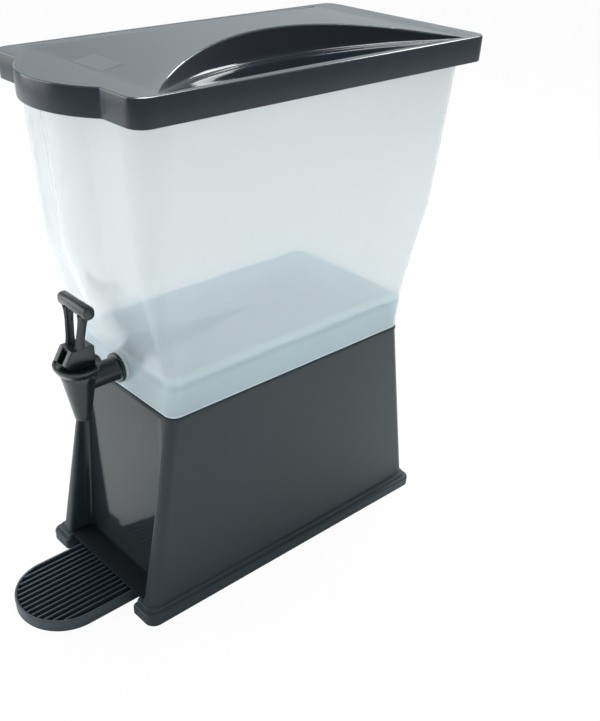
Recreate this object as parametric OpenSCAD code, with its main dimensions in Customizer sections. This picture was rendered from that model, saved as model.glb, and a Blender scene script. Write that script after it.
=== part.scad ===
// Juice dispenser: hollow stand with a cup bay, drip tray, lift-off reservoir, lid and self-closing tap.
// Millimetres, +Z up, front towards -Y. The origin is under the middle of the whole object.

/* [Stand] */
// Width of the plinth across the front
plinth_w = 210; // [190:1:240]
// Length of the plinth from front to back
plinth_l = 425; // [400:1:470]
// Height of the plinth's upright band
plinth_h = 13; // [9:0.5:18]
// Radius of the plinth's corners
plinth_r = 12; // [8:0.5:18]
// Height of the small step above the band
step_h = 5; // [3:0.5:8]
// Inset of the step from the band
step_inset = 5; // [3:0.5:7]
// Inset of the stand's walls from the plinth band at the foot
foot_inset = 10; // [8:0.5:14]
// Width of the stand at its top rim
rim_w = 170; // [160:1:180]
// Front of the top rim, behind the plinth's front edge
rim_front = 54; // [46:1:60]
// Length of the top rim from front to back
rim_l = 330; // [310:1:345]
// Height of the top rim
rim_z = 239; // [225:1:260]
// Radius of the stand's upright corners
stand_r = 12; // [8:0.5:16]
// Wall of the stand
stand_wall = 3; // [2:0.25:4]
// Drop of the deck below the rim
deck_drop = 6; // [5:0.5:10]
// Height of the corner tabs above the rim
tab_h = 24; // [15:1:30]
// Length of each leg of a corner tab
tab_leg = 40; // [25:1:55]

/* [Cup bay] */
// Half width of the cup bay between the legs
bay_half = 75.5; // [70:0.5:80]
// Half width of the gap in the plinth
gap_half = 69; // [64:0.5:72]
// Depth of the bay's back panel at its foot, behind the plinth's front edge
panel_foot = 39; // [34:0.5:46]
// Depth of the back panel at the bay's top
panel_top = 55.5; // [54.5:0.25:57]
// Thickness of the bay's floor over the tray
bay_floor = 2; // [1.5:0.1:2.2]
// Height of the bay's floor, with the tray slot under it
slot_h = 18; // [17:0.5:20]
// Drop of the bay's top edge below the rim
bay_drop = 7; // [6:0.5:12]

/* [Drip tray] */
// Half width of the tray, and radius of its round front
tray_r = 54; // [46:0.5:60]
// Reach of the tray in front of the plinth
tray_reach = 100; // [85:1:115]
// Length of the tray from its round front to its back edge
tray_l = 245; // [200:1:280]
// Height of the tray
tray_h = 15; // [12:0.5:16]
// Floor of the tray
tray_floor = 3; // [2:0.25:5]
// Rim wall of the tray
tray_wall = 3; // [2:0.25:4]
// Thickness of each rib
rib_t = 2.2; // [1.6:0.1:3]
// Number of ribs
rib_n = 13; // [9:1:15]
// Clearance under the tray
tray_clear = 0.4; // [0.2:0.1:0.8]
// Side clearance of the tray between its guides
tray_side = 0.4; // [0.3:0.05:1]
// Length of the tray guides behind the bay's panel
guide_l = 68; // [50:1:70]
// Height of the tray guides
guide_h = 38; // [34:0.5:45]

/* [Reservoir] */
// Height of the reservoir from the stand's rim
res_h = 299.7; // [280:0.1:320]
// Wall of the reservoir
res_wall = 3; // [2:0.25:4]
// Width of the reservoir's mouth, outside
mouth_w = 210; // [200:1:211]
// Front of the mouth, behind the plinth's front edge
mouth_front = 23; // [22:0.5:28]
// Length of the mouth from front to back
mouth_l = 383; // [370:1:395]
// Height of the crease in the front and back walls, above the rim
crease_h = 147; // [130:1:160]
// Setback of the front wall at the crease, from the front of the mouth
crease_front = 7; // [4:0.5:10]
// Setback of the back wall at the crease, from the back of the mouth
crease_back = 1; // [0:0.5:4]
// Height of the upright part of the front wall above the rim
front_upright = 43; // [42:0.5:50]
// Height of the upright part of the back wall above the rim
back_upright = 52; // [48:0.5:60]
// Radius of the reservoir's corners
res_r = 14; // [10:0.5:18]
// Radius of the front corners at the crease
crease_r = 20; // [14:0.5:26]
// Radius of the front corners at the mouth
mouth_r = 40; // [30:0.5:44]
// Depth of the reservoir's front lobe at the mouth
res_lobe = 16; // [10:0.5:18]
// Depth of the lobe at the crease
crease_lobe = 9; // [5:0.5:11]
// Height of the floor's top above the rim
floor_h = 39; // [38:0.5:42]
// Thickness of the floor
floor_t = 3; // [2:0.25:4]
// Length of the drain trough
trough_l = 168; // [140:1:200]
// Radius of the drain trough at the front wall
trough_r = 34; // [33:0.5:34.5]
// Thickness of the two ribs under the floor
gusset_t = 2.5; // [2:0.25:4]
// Gap between the reservoir and the stand's rim
seat_gap = 0.3; // [0.2:0.05:0.5]
// Clearance between the corner tabs and the reservoir's skirt
tab_clear = 0.8; // [0.5:0.1:1.5]

/* [Lid] */
// Width of the lid
lid_w = 221; // [219:1:230]
// Front of the lid's corner flats, behind the plinth's front edge
lid_front = 17.5; // [14:0.5:18]
// Length of the lid from the flats to the back
lid_l = 416.5; // [405:0.5:430]
// Depth of the lid's front lobe
lid_lobe = 26.5; // [22:0.5:30]
// Half width of the lobe at its root
lobe_root = 63; // [58:1:70]
// Radius of the lid's corners
lid_r = 16; // [10:0.5:20]
// Height of the lid's skirt
skirt_h = 23; // [18:0.5:28]
// Wall of the lid
lid_wall = 3; // [2:0.25:3.5]
// Gap between the lid and the reservoir's mouth
lid_gap = 0.3; // [0.2:0.05:0.5]
// Depth of the locating lip inside the mouth
lip_h = 9; // [6:0.5:14]
// Clearance of the locating lip inside the mouth
lip_clear = 1; // [0.6:0.1:2]
// Height of the grip's arched top above the lid's rim
grip_h = 15.4; // [10:0.1:20]
// Distance of the grip's front tips from the lid's flats
grip_front = 25; // [22:0.5:40]
// Length of the grip from tip to tip
grip_l = 362; // [320:1:365]
// Half width of the grip's top at its waist
grip_waist = 28; // [22:0.5:36]
// Half width of the grip's foot at its waist
grip_foot = 41; // [36:0.5:46]
// Depth of the finger hollows below the lid's rim, beside the rim
hollow_drop = 3; // [2:0.25:4]
// Depth of the finger hollows below the lid's rim, at the grip's foot
hollow_deep = 7.2; // [5:0.1:8]
// Half width at which the sloping floors of the hollows level out
hollow_level = 88; // [80:0.5:92]
// Width of the rim beside the finger hollows
hollow_rim = 3; // [2.5:0.25:5]

/* [Tap] */
// Height of the tap's shank above the rim
tap_h = 25; // [24.5:0.1:25.5]
// Reach of the tap's upright axis in front of the reservoir
tap_reach = 49; // [44:0.5:56]
// Radius of the shank
shank_r = 12; // [11:0.25:12.5]
// Radius of the shank's thread behind the flange
thread_r = 10; // [9:0.25:10.5]
// Radius of the shank's bore
shank_bore = 6.5; // [5:0.25:7.5]
// Radius of the flange
flange_r = 15.5; // [14:0.25:16]
// Thickness of the flange
flange_t = 4; // [3:0.25:5]
// Radius of the body's upright chamber, outside
body_r = 18; // [17.5:0.25:19]
// Radius of the chamber, inside
chamber_r = 14; // [13:0.25:14.5]
// Height of the body above the shank's axis
body_up = 14.5; // [14:0.25:16]
// Height of the seat below the shank's axis
seat_down = 11; // [10:0.25:12]
// Height of the spout's mouth below the shank's axis
spout_down = 42; // [36:0.5:48]
// Radius of the spout's mouth, outside
spout_r = 8.5; // [8:0.25:10]
// Radius of the spout's bore
spout_bore = 6; // [5:0.25:6.5]
// Radius of the bonnet
bonnet_r = 24; // [23:0.25:26]
// Skirt of the bonnet over the body
bonnet_skirt = 2; // [1.5:0.1:2.2]
// Radius of the bonnet's lower edge
bonnet_foot = 20.5; // [19.5:0.25:22]
// Thickness of the bonnet's floor
bonnet_floor = 4; // [3:0.25:5]
// Height of the bonnet's raised lip
bonnet_lip = 3; // [2:0.25:3.25]
// Inside radius of the bonnet's raised lip
dish_r = 21.5; // [21:0.25:22]
// Clearance between the bonnet and the body
bonnet_fit = 0.05; // [0.02:0.01:0.1]
// Radius of the stem
stem_r = 4; // [3.5:0.1:4.2]
// Clearance of the stem in the bonnet
stem_fit = 0.06; // [0.03:0.01:0.1]
// Radius of the silicone seat cup
cup_r = 12; // [11:0.25:12.5]
// Height of the seat cup
cup_h = 13; // [10:0.25:14]
// Gap between the seat cup and its seat when shut
cup_gap = 0.2; // [0.1:0.05:0.3]
// Thickness of the outer washer
outer_washer_t = 3.5; // [2:0.25:4]
// Radius of both washers
washer_r = 16.5; // [15.5:0.25:17]
// Thickness of the inner washer
inner_washer_t = 2; // [1.5:0.25:3]
// Width of the nut across its flats
nut_flats = 25; // [23:0.5:26]
// Thickness of the nut
nut_t = 8; // [6:0.25:10]
// Clearance of the thread in the wall
thread_clear = 0.4; // [0.2:0.05:0.8]

/* [Tap handle] */
// Height of the pin above the handle's foot
pin_up = 12; // [10:0.25:14]
// Radius of the pin
pin_r = 2; // [1.6:0.1:2.4]
// Clearance of the pin in the stem
pin_fit = 0.06; // [0.03:0.01:0.1]
// Half width of the handle's foot
foot_half = 11; // [10:0.25:12]
// Depth of the foot behind the pin
foot_back = 15; // [12:0.25:16]
// Depth of the foot's top in front of the pin
foot_front = 10; // [8:0.25:13]
// Lift of the stem for each radian of tilt
cam_lift = 6; // [4:0.25:6.5]
// Greatest tilt of the handle in degrees
tilt_max = 60; // [45:1:65]
// Gap between the handle's foot and the bonnet
foot_gap = 0.3; // [0.2:0.05:0.5]
// Clearance of the stem's head in the foot
head_clear = 0.4; // [0.2:0.05:0.8]
// Half thickness of the stem's head
head_half = 3.6; // [3:0.1:3.8]
// Height of the foot block above the pin
foot_up = 9.25; // [8.5:0.25:11]
// Half spacing of the two legs at the foot
leg_half = 8; // [7.5:0.25:9]
// Splay of each leg from the foot to the bar
leg_splay = 6; // [3:0.25:8]
// Width of each leg
leg_w = 6; // [5:0.25:8]
// Depth of each leg
leg_d = 9; // [7:0.25:11]
// Height of the bar above the pin
bar_up = 49; // [44:0.5:54]
// Radius of the bar
bar_r = 6.5; // [5.5:0.25:8]
// Half length of the bar
bar_half = 23.5; // [20:0.5:28]
// Setback of the bar behind the pin
bar_back = 6; // [0:0.5:8]

/* [Hidden] */
$fn = 64;
eps = 0.5;

// Lengthwise places are counted from the plinth's front edge and moved so that the origin is in the middle
lid_back = lid_front + lid_l;
front_y = -(lid_back - tray_reach) / 2;
tray_back = tray_l - tray_reach;

// Stand
step_z = plinth_h + step_h;
rim_back = rim_front + rim_l;
deck_z = rim_z - deck_drop;
bay_top = rim_z - bay_drop;
panel_lean = (panel_top - panel_foot) / (bay_top - slot_h);

// Reservoir
res_z = rim_z + seat_gap;
mouth_z = rim_z + res_h;
mouth_back = mouth_front + mouth_l;
crease_z = rim_z + crease_h;
floor_z = rim_z + floor_h;
side_lean = (mouth_w - rim_w) / 2 / res_h;
middle_y = (rim_front + rim_back) / 2;
res_lobe_nose = 18;
res_lobe_root = 54;

// Lid
plate_z = mouth_z + lid_gap;
hollow_z = plate_z + lid_wall;
lid_z = hollow_z + hollow_drop;
skirt_z = lid_z - skirt_h;
tip_front = lid_front + grip_front;
tip_back = tip_front + grip_l;
tip_x = lid_w / 2 - hollow_rim - 2.5;
grip_steps = 24;
grip_lap = 4;
grip_sink = 0.25;
hollow_slope = (hollow_deep - hollow_drop) / (hollow_level - grip_foot);

// Tap
tap_z = rim_z + tap_h;
wall_y = rim_front;
tap_y = wall_y - tap_reach;
body_top = tap_z + body_up;
seat_z = tap_z - seat_down;
spout_z = tap_z - spout_down;
cone_z = body_top - bonnet_skirt - 4;
bonnet_z = body_top + bonnet_floor;
flange_y = wall_y - outer_washer_t - flange_t;
inner_y = wall_y + res_wall;
nut_y = inner_y + inner_washer_t;
thread_end = nut_y + nut_t + 3;
cup_z = seat_z + cup_gap;
pin_z = bonnet_z + foot_gap + pin_up;
eye_r = stem_r + 0.5;
cam_steps = 12;
hex_sides = 6;

charcoal = [0.20, 0.22, 0.23];
slate = [0.22, 0.24, 0.27];
milky = [0.86, 0.91, 0.92, 0.55];
black = [0.11, 0.11, 0.12];
silicone = [0.85, 0.86, 0.84];

module placed() translate([0, front_y, 0]) children();

// Outline helpers
function arc(cx, cy, r, from, to, n) =
    [for (k = [0 : n]) let (t = from + (to - from) * k / n) [cx + r * cos(t), cy + r * sin(t)]];

function lobe_fall(x, nose, root) = 0.5 + 0.5 * cos(180 * max(0, min(1, (x - nose) / (root - nose))));
function waved(lobe, nose, root) =
    [for (k = [0 : 8]) let (x = root * k / 8) [x, lobe * lobe_fall(x, nose, root)]];
function bowed(lobe, root) = let (r = (root * root + lobe * lobe) / (2 * lobe))
    [for (k = [0 : 8]) let (x = root * k / 8) [x, lobe - r + sqrt(r * r - x * x)]];

function lobed_half(half, front, back, r, front_r, lobe) = concat(
    [for (p = lobe) [p[0], front - p[1]]],
    arc(half - front_r, front + front_r, front_r, -90, 0, 5),
    arc(half - r, back - r, r, 0, 90, 5));

function mirrored(points) = [for (k = [len(points) - 1 : -1 : 1]) [-points[k][0], points[k][1]]];

function lobed(half, front, back, r, front_r, lobe) =
    let (right = lobed_half(half, front, back, r, front_r, lobe)) concat(right, mirrored(right));

function raised(points, z) = [for (p = points) [p[0], p[1], z]];

module rounded(x0, x1, y0, y1, r) {
    translate([x0 + r, y0]) square([x1 - x0 - 2 * r, y1 - y0]);
    translate([x0, y0 + r]) square([x1 - x0, y1 - y0 - 2 * r]);
    for (x = [x0 + r, x1 - r], y = [y0 + r, y1 - r]) translate([x, y]) circle(r);
}

// A closed skin through outlines that have the same number of points
function skin_sides(n, m) = [for (j = [0 : m - 2], i = [0 : n - 1], s = [0, 1])
    let (a = j * n + i, b = j * n + (i + 1) % n) s == 0 ? [a, b + n, b] : [a, a + n, b + n]];

module skin(outlines) {
    n = len(outlines[0]);
    m = len(outlines);
    polyhedron(
        points = [for (o = outlines, p = o) p],
        faces = concat([[for (i = [0 : n - 1]) i]], skin_sides(n, m),
            [[for (i = [n - 1 : -1 : 0]) (m - 1) * n + i]]));
}

// The same skin with its two ends fanned from a middle point
module fanned_skin(outlines, y) {
    n = len(outlines[0]);
    m = len(outlines);
    ends = [[0, y, outlines[0][0][2]], [0, y, outlines[m - 1][0][2]]];
    polyhedron(
        points = concat([for (o = outlines, p = o) p], ends),
        faces = concat(skin_sides(n, m),
            [for (i = [0 : n - 1]) [m * n, i, (i + 1) % n]],
            [for (i = [0 : n - 1]) [m * n + 1, (m - 1) * n + (i + 1) % n, (m - 1) * n + i]]));
}

// Stand with its plinth, legs, bay panel and floor, deck and corner tabs
module plinth_plan(inset, r) rounded(-plinth_w / 2 + inset, plinth_w / 2 - inset, inset, plinth_l - inset, r);

module rim_plan(inset, r)
    rounded(-rim_w / 2 + inset, rim_w / 2 - inset, rim_front + inset, rim_back - inset, r);

module stand_walls(inset, bottom, top) hull() {
    translate([0, 0, bottom]) linear_extrude(0.01) plinth_plan(foot_inset + inset, stand_r - inset + 3);
    translate([0, 0, top - 0.01]) linear_extrude(0.01) rim_plan(inset, stand_r - inset);
}

module bay(grow) {
    rotate([90, 0, 90]) translate([0, 0, -bay_half - grow]) linear_extrude(2 * (bay_half + grow))
        polygon([[-1, slot_h], [panel_foot + grow, slot_h],
            [panel_foot + grow + panel_lean * (bay_top + grow - slot_h), bay_top + grow],
            [-1, bay_top + grow]]);
}

module corner_tabs() {
    reach = res_wall + tab_clear;
    difference() {
        linear_extrude(deck_drop + tab_h) difference() {
            rim_plan(reach, stand_r - 2);
            rim_plan(reach + stand_wall, stand_r - 2 - stand_wall);
        }
        translate([-rim_w / 2 + tab_leg, rim_front, -eps])
            cube([rim_w - 2 * tab_leg, rim_l, deck_drop + tab_h + 2 * eps]);
        translate([-rim_w / 2, rim_front + tab_leg, -eps])
            cube([rim_w, rim_l - 2 * tab_leg, deck_drop + tab_h + 2 * eps]);
    }
}

module base() color(charcoal) placed() {
    difference() {
        union() {
            linear_extrude(plinth_h) plinth_plan(0, plinth_r);
            linear_extrude(step_z) plinth_plan(step_inset, plinth_r - 2);
            stand_walls(0, step_z - eps, rim_z);
        }
        difference() {
            translate([0, 0, -eps]) stand_walls(stand_wall, 0, deck_z - stand_wall + eps);
            bay(stand_wall);
        }
        translate([0, 0, deck_z]) linear_extrude(deck_drop + eps) rim_plan(stand_wall, stand_r - stand_wall);
        bay(0);
        translate([-gap_half, -eps, -eps]) cube([2 * gap_half, panel_foot + stand_wall + 1, slot_h + 2 * eps]);
    }
    translate([-bay_half - 1, foot_inset, slot_h - bay_floor])
        cube([2 * bay_half + 2, panel_foot + stand_wall - foot_inset, bay_floor + 0.3]);
    for (side = [-1, 1])
        translate([side * (tray_r + tray_side + stand_wall / 2), panel_foot + 1 + guide_l / 2, 1 + guide_h / 2])
        cube([stand_wall, guide_l, guide_h], center = true);
    translate([0, 0, deck_z - eps]) intersection() {
        corner_tabs();
        translate([-rim_w / 2, rim_front, 0]) cube([rim_w, rim_l, deck_drop + tab_h]);
    }
}

// Ribbed tray with a round front, which slides in between the legs
module tray_plan(inset) {
    translate([0, tray_r - tray_reach]) circle(tray_r - inset);
    translate([-tray_r + inset, tray_r - tray_reach])
        square([2 * (tray_r - inset), tray_back - tray_r + tray_reach - inset]);
}

module drip_tray() color(black) placed() translate([0, 0, tray_clear]) {
    pitch = 2 * (tray_r - tray_wall) / (rib_n + 1);
    linear_extrude(tray_floor) tray_plan(0);
    linear_extrude(tray_h) difference() {
        tray_plan(0);
        tray_plan(tray_wall);
    }
    linear_extrude(tray_h) intersection() {
        tray_plan(tray_wall - eps);
        for (k = [1 : rib_n]) translate([-tray_r + tray_wall + k * pitch - rib_t / 2, -tray_reach])
            square([rib_t, tray_l]);
    }
}

// Outline of the reservoir at one height, set in by a wall
function share(z, low, high) = max(0, min(1, (z - low) / (high - low)));
function front_share(z) = share(z, rim_z + front_upright, crease_z);
function back_share(z) = share(z, rim_z + back_upright, crease_z);
function mouth_share(z) = share(z, crease_z, mouth_z);
function res_front(z) = rim_front + (mouth_front + crease_front - rim_front) * front_share(z)
    - crease_front * mouth_share(z);
function res_back(z) = rim_back + (mouth_back - crease_back - rim_back) * back_share(z)
    + crease_back * mouth_share(z);
function res_lobe_at(z) = crease_lobe * front_share(z) + (res_lobe - crease_lobe) * mouth_share(z);
function res_front_r(z) = res_r + (crease_r - res_r) * front_share(z) + (mouth_r - crease_r) * mouth_share(z);
function res_outline(z, inset) = raised(
    lobed(rim_w / 2 + side_lean * (z - rim_z) - inset, res_front(z) + inset, res_back(z) - inset, res_r - inset,
        res_front_r(z) - inset, waved(res_lobe_at(z), res_lobe_nose, res_lobe_root)), z);

module trough(grow) translate([0, inner_y, floor_z]) rotate([-90, 0, 0])
    cylinder(h = trough_l, r1 = trough_r + grow, r2 = grow + 0.5);

module gusset(side) {
    reach = rim_w / 2 + side_lean * floor_h - res_wall / 2;
    translate([0, inner_y + trough_l - gusset_t, 0]) rotate([90, 0, 0]) linear_extrude(gusset_t)
        polygon([[side * 4, floor_z - floor_t / 2], [side * reach, floor_z - floor_t / 2],
            [side * (rim_w / 2 - res_wall / 2), rim_z + tab_clear * 4]]);
}

module reservoir() color(milky) placed() difference() {
    union() {
        difference() {
            fanned_skin([for (z = [res_z, rim_z + front_upright, rim_z + back_upright, crease_z, mouth_z])
                res_outline(z, 0)], middle_y);
            fanned_skin([for (z = [floor_z, rim_z + front_upright, rim_z + back_upright, crease_z, mouth_z])
                raised(res_outline(z, res_wall), z == mouth_z ? z + eps : z)], middle_y);
            fanned_skin([raised(res_outline(res_z, res_wall), res_z - eps),
                res_outline(floor_z - floor_t, res_wall)], middle_y);
        }
        intersection() {
            trough(res_wall);
            translate([-trough_r - res_wall, inner_y - res_wall / 2, rim_z])
                cube([2 * (trough_r + res_wall), trough_l + res_wall, floor_h - floor_t / 2]);
        }
        for (side = [-1, 1]) gusset(side);
    }
    trough(0);
    translate([0, wall_y - eps, tap_z]) rotate([-90, 0, 0])
        cylinder(h = res_wall + 2 * eps, r = thread_r + thread_clear);
}

// Grip along the lid's middle: an arched top with a waist, whose steep sides stand in two finger hollows
function grip_share(y) = max(0, 1 - pow((y - (tip_front + tip_back) / 2) / (grip_l / 2), 2));
function crest_x(y) = tip_x - (tip_x - grip_waist) * pow(grip_share(y), 0.92);
function foot_x(y) = crest_x(y) + 0.8 + (grip_foot - grip_waist - 0.8) * grip_share(y);
function level_x(y) = max(hollow_level, foot_x(y) + 0.8);
function floor_at(x) = hollow_z - grip_sink - hollow_slope * max(0, hollow_level - x);
function grip_side(y, inset) =
    let (c = crest_x(y) - inset, f = foot_x(y) - inset, low = floor_at(foot_x(y)) - grip_sink / 2)
    let (top = lid_z - grip_sink + (grip_h + grip_sink) * grip_share(y))
    [[c, top], [c + (f - c) * 0.62, low + (top - low) * 0.22], [f, low], [level_x(y), hollow_z - grip_sink],
        [(lid_w - hollow_rim) / 2, hollow_z - grip_sink * 1.2]];
function grip_row(y, inset, drop) = let (side = grip_side(y, inset)) concat(
    [for (k = [len(side) - 1 : -1 : 0]) [-side[k][0], y, side[k][1] - drop]],
    [for (p = side) [p[0], y, p[1] - drop]]);
function grip_profile(y) = let (under = grip_row(y, lid_wall * 0.4, lid_wall - 2 * grip_sink)) concat(
    grip_row(y, 0, 0), [for (k = [len(under) - 1 : -1 : 0]) under[k]]);
function grip_place(k) = tip_front + grip_l * k / grip_steps;

function lid_outline(inset) = lobed(lid_w / 2 - inset, lid_front + inset, lid_back - inset, lid_r - inset,
    lid_r - inset, bowed(lid_lobe, lobe_root));

module locating_lip() {
    drop = mouth_z - lip_h;
    inset = res_wall + lip_clear;
    translate([0, 0, drop]) linear_extrude(lip_h + lid_gap + 2 * eps) difference() {
        polygon([for (p = res_outline(drop, inset)) [p[0], p[1]]]);
        polygon([for (p = res_outline(drop, inset + lid_wall)) [p[0], p[1]]]);
    }
}

module lid() color(slate) placed() {
    difference() {
        translate([0, 0, skirt_z]) linear_extrude(skirt_h) polygon(lid_outline(0));
        translate([0, 0, skirt_z - eps]) linear_extrude(plate_z - skirt_z + eps) polygon(lid_outline(lid_wall));
        translate([hollow_rim - lid_w / 2, tip_front + grip_lap, plate_z - eps])
            cube([lid_w - 2 * hollow_rim, grip_l - 2 * grip_lap, lid_z - plate_z + 2 * eps]);
    }
    locating_lip();
    skin([for (k = [0 : grip_steps]) grip_profile(grip_place(k))]);
}

// Tap body: upright funnel with a shank through the reservoir's front wall
module along_y(y) translate([0, y, tap_z]) rotate([-90, 0, 0]) children();

module tap_body() color(black) placed() difference() {
    union() {
        translate([0, tap_y, cone_z]) cylinder(h = body_top - cone_z, r = body_r);
        translate([0, tap_y, spout_z]) cylinder(h = cone_z - spout_z, r1 = spout_r, r2 = body_r);
        along_y(tap_y) cylinder(h = flange_y - tap_y + eps, r = shank_r);
        along_y(flange_y) cylinder(h = flange_t, r = flange_r);
        along_y(flange_y) cylinder(h = thread_end - flange_y, r = thread_r);
    }
    translate([0, tap_y, seat_z]) cylinder(h = body_top - seat_z + eps, r = chamber_r);
    translate([0, tap_y, spout_z - eps]) cylinder(h = seat_z - spout_z + 2 * eps, r = spout_bore);
    along_y(tap_y) cylinder(h = thread_end - tap_y + eps, r = shank_bore);
}

// Bonnet: ring that caps the chamber, guides the stem and carries the handle's foot in its dish
module tap_bonnet() color(black) placed() translate([0, tap_y, body_top]) rotate_extrude()
    polygon([[body_r + bonnet_fit, -bonnet_skirt], [bonnet_foot, -bonnet_skirt], [bonnet_r, bonnet_floor],
        [bonnet_r, bonnet_floor + bonnet_lip], [dish_r, bonnet_floor + bonnet_lip], [dish_r, bonnet_floor],
        [stem_r + stem_fit, bonnet_floor], [stem_r + stem_fit, 0], [body_r + bonnet_fit, 0]]);

// Stem: round rod with a flat eye that hangs on the handle's pin
module valve_stem() color(black) placed() translate([0, tap_y, 0]) difference() {
    union() {
        translate([0, 0, cup_z + 2]) cylinder(h = pin_z - pin_up / 2 - cup_z - 2, r = stem_r);
        translate([-head_half, -stem_r, pin_z - pin_up / 2])
            cube([2 * head_half, 2 * stem_r, pin_up / 2]);
        translate([-head_half, 0, pin_z]) rotate([0, 90, 0]) cylinder(h = 2 * head_half, r = eye_r);
    }
    translate([-head_half - eps, 0, pin_z]) rotate([0, 90, 0])
        cylinder(h = 2 * head_half + 2 * eps, r = pin_r + pin_fit);
}

// Seat cup: silicone plug on the stem's lower end
module seat_cup() color(silicone) placed() translate([0, tap_y, cup_z]) difference() {
    union() {
        cylinder(h = cup_h * 0.4, r1 = cup_r - 2.5, r2 = cup_r);
        translate([0, 0, cup_h * 0.4]) cylinder(h = cup_h * 0.6, r1 = cup_r, r2 = stem_r + 3);
    }
    translate([0, 0, 2]) cylinder(h = cup_h, r = stem_r);
}

// Handle: cam foot in a fork, two legs with a finger window and a cross bar
function cam_point(angle) = let (h = pin_up + cam_lift * angle * PI / 180)
    [-h * sin(angle) - cam_lift * cos(angle), -h * cos(angle) + cam_lift * sin(angle)];

module foot_side() polygon(concat(
    [[foot_back, foot_up], [foot_back, -pin_up]],
    [for (k = [0 : cam_steps]) cam_point(tilt_max * k / cam_steps)],
    [[-foot_front, foot_up]]));

module tap_handle() color(black) placed() translate([0, tap_y, pin_z]) difference() {
    union() {
        translate([-foot_half, 0, 0]) rotate([90, 0, 90]) linear_extrude(2 * foot_half) foot_side();
        for (side = [-1, 1]) hull() {
            translate([side * leg_half - leg_w / 2, -leg_d / 2, foot_up - eps]) cube([leg_w, leg_d, eps / 2]);
            translate([side * (leg_half + leg_splay) - leg_w / 2, bar_back - leg_d / 2, bar_up - eps])
                cube([leg_w, leg_d, eps / 2]);
        }
        translate([-bar_half, bar_back, bar_up]) rotate([0, 90, 0]) cylinder(h = 2 * bar_half, r = bar_r);
    }
    translate([-stem_r - head_clear, -pin_up * 2, -pin_up - eps])
        cube([2 * (stem_r + head_clear), pin_up * 4, pin_up + eps + eye_r + head_clear]);
    translate([-foot_half - eps, 0, 0]) rotate([0, 90, 0]) cylinder(h = 2 * foot_half + 2 * eps, r = pin_r);
}

module handle_pin() color("silver") placed() translate([-foot_half, tap_y, pin_z]) rotate([0, 90, 0])
    cylinder(h = 2 * foot_half, r = pin_r);

// Washers and nut on the shank's thread
module washer(y, t) along_y(y) difference() {
    cylinder(h = t, r = washer_r);
    translate([0, 0, -eps]) cylinder(h = t + 2 * eps, r = thread_r);
}

module outer_washer() color(silicone) placed() washer(wall_y - outer_washer_t, outer_washer_t);

module inner_washer() color(silicone) placed() washer(inner_y, inner_washer_t);

module shank_nut() color(black) placed() along_y(nut_y) difference() {
    cylinder(h = nut_t, r = nut_flats / 2 / cos(180 / hex_sides), $fn = hex_sides);
    translate([0, 0, -eps]) cylinder(h = nut_t + 2 * eps, r = thread_r);
}

base();
drip_tray();
reservoir();
lid();
tap_body();
tap_bonnet();
valve_stem();
seat_cup();
tap_handle();
handle_pin();
outer_washer();
inner_washer();
shank_nut();
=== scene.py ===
import math

import bpy
import bmesh
from mathutils import Matrix, Vector


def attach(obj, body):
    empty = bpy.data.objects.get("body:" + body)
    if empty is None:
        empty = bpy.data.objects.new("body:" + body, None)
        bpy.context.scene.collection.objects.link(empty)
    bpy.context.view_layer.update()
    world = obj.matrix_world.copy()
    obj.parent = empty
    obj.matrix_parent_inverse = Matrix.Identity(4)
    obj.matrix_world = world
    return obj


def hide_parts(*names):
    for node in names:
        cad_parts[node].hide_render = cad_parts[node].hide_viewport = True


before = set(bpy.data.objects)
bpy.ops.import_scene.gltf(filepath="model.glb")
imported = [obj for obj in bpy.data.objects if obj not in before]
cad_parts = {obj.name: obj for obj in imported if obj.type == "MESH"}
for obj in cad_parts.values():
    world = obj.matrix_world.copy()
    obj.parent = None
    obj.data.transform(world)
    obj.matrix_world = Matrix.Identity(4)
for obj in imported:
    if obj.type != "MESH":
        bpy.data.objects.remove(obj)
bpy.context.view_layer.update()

# Stand: one hollow moulding in charcoal plastic, open below, that carries all the rest. A stepped
# plinth bears four leaning walls and a deck; the cup bay in front is a wedge that runs out at the
# rim, and its polished back panel leans over the tray's tunnel.
MM = 1000.0
FRONT_EDGE = round(MM * min(v.co.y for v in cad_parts["base"].data.vertices), 2)


def in_frame(p):
    """A place in millimetres, with y counted from the plinth's front edge, in the frame's metres."""
    return (p[0] / MM, (p[1] + FRONT_EDGE) / MM, p[2] / MM)


def box_of(node):
    """Half width, front, back, foot and top of a CAD node, in the same millimetres."""
    places = [v.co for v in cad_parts[node].data.vertices]
    half, back, top = [round(MM * max(p[k] for p in places), 2) for k in range(3)]
    front, foot = [round(MM * min(p[k] for p in places), 2) for k in (1, 2)]
    return half, front - FRONT_EDGE, back - FRONT_EDGE, foot, top


def arc(cx, cy, r, start, end, n):
    """Points of an arc in n steps, from one angle to another in degrees."""
    angles = [math.radians(start + (end - start) * k / n) for k in range(n + 1)]
    return [(cx + r * math.cos(t), cy + r * math.sin(t)) for t in angles]


def line(a, b, n):
    """The points that part the way from a to b into n steps, without its two ends."""
    return [(a[0] + (b[0] - a[0]) * k / n, a[1] + (b[1] - a[1]) * k / n) for k in range(1, n)]


def mirrored(half):
    """A closed ring from its right half, whose two ends lie on the middle plane."""
    return half + [(-x, y) for x, y in half[-2:0:-1]]


def at(ring, z):
    return [(x, y, z) for x, y in ring]


def skin(rings, first=False, last=False):
    """Points and faces of a closed skin through rings of equal length, capped where asked."""
    n = len(rings[0])
    points = [p for ring in rings for p in ring]
    faces = [(j * n + i, j * n + (i + 1) % n, (j + 1) * n + (i + 1) % n, (j + 1) * n + i)
             for j in range(len(rings) - 1) for i in range(n)]
    if first:
        faces.append(tuple(range(n - 1, -1, -1)))
    if last:
        faces.append(tuple((len(rings) - 1) * n + i for i in range(n)))
    return points, faces


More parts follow.
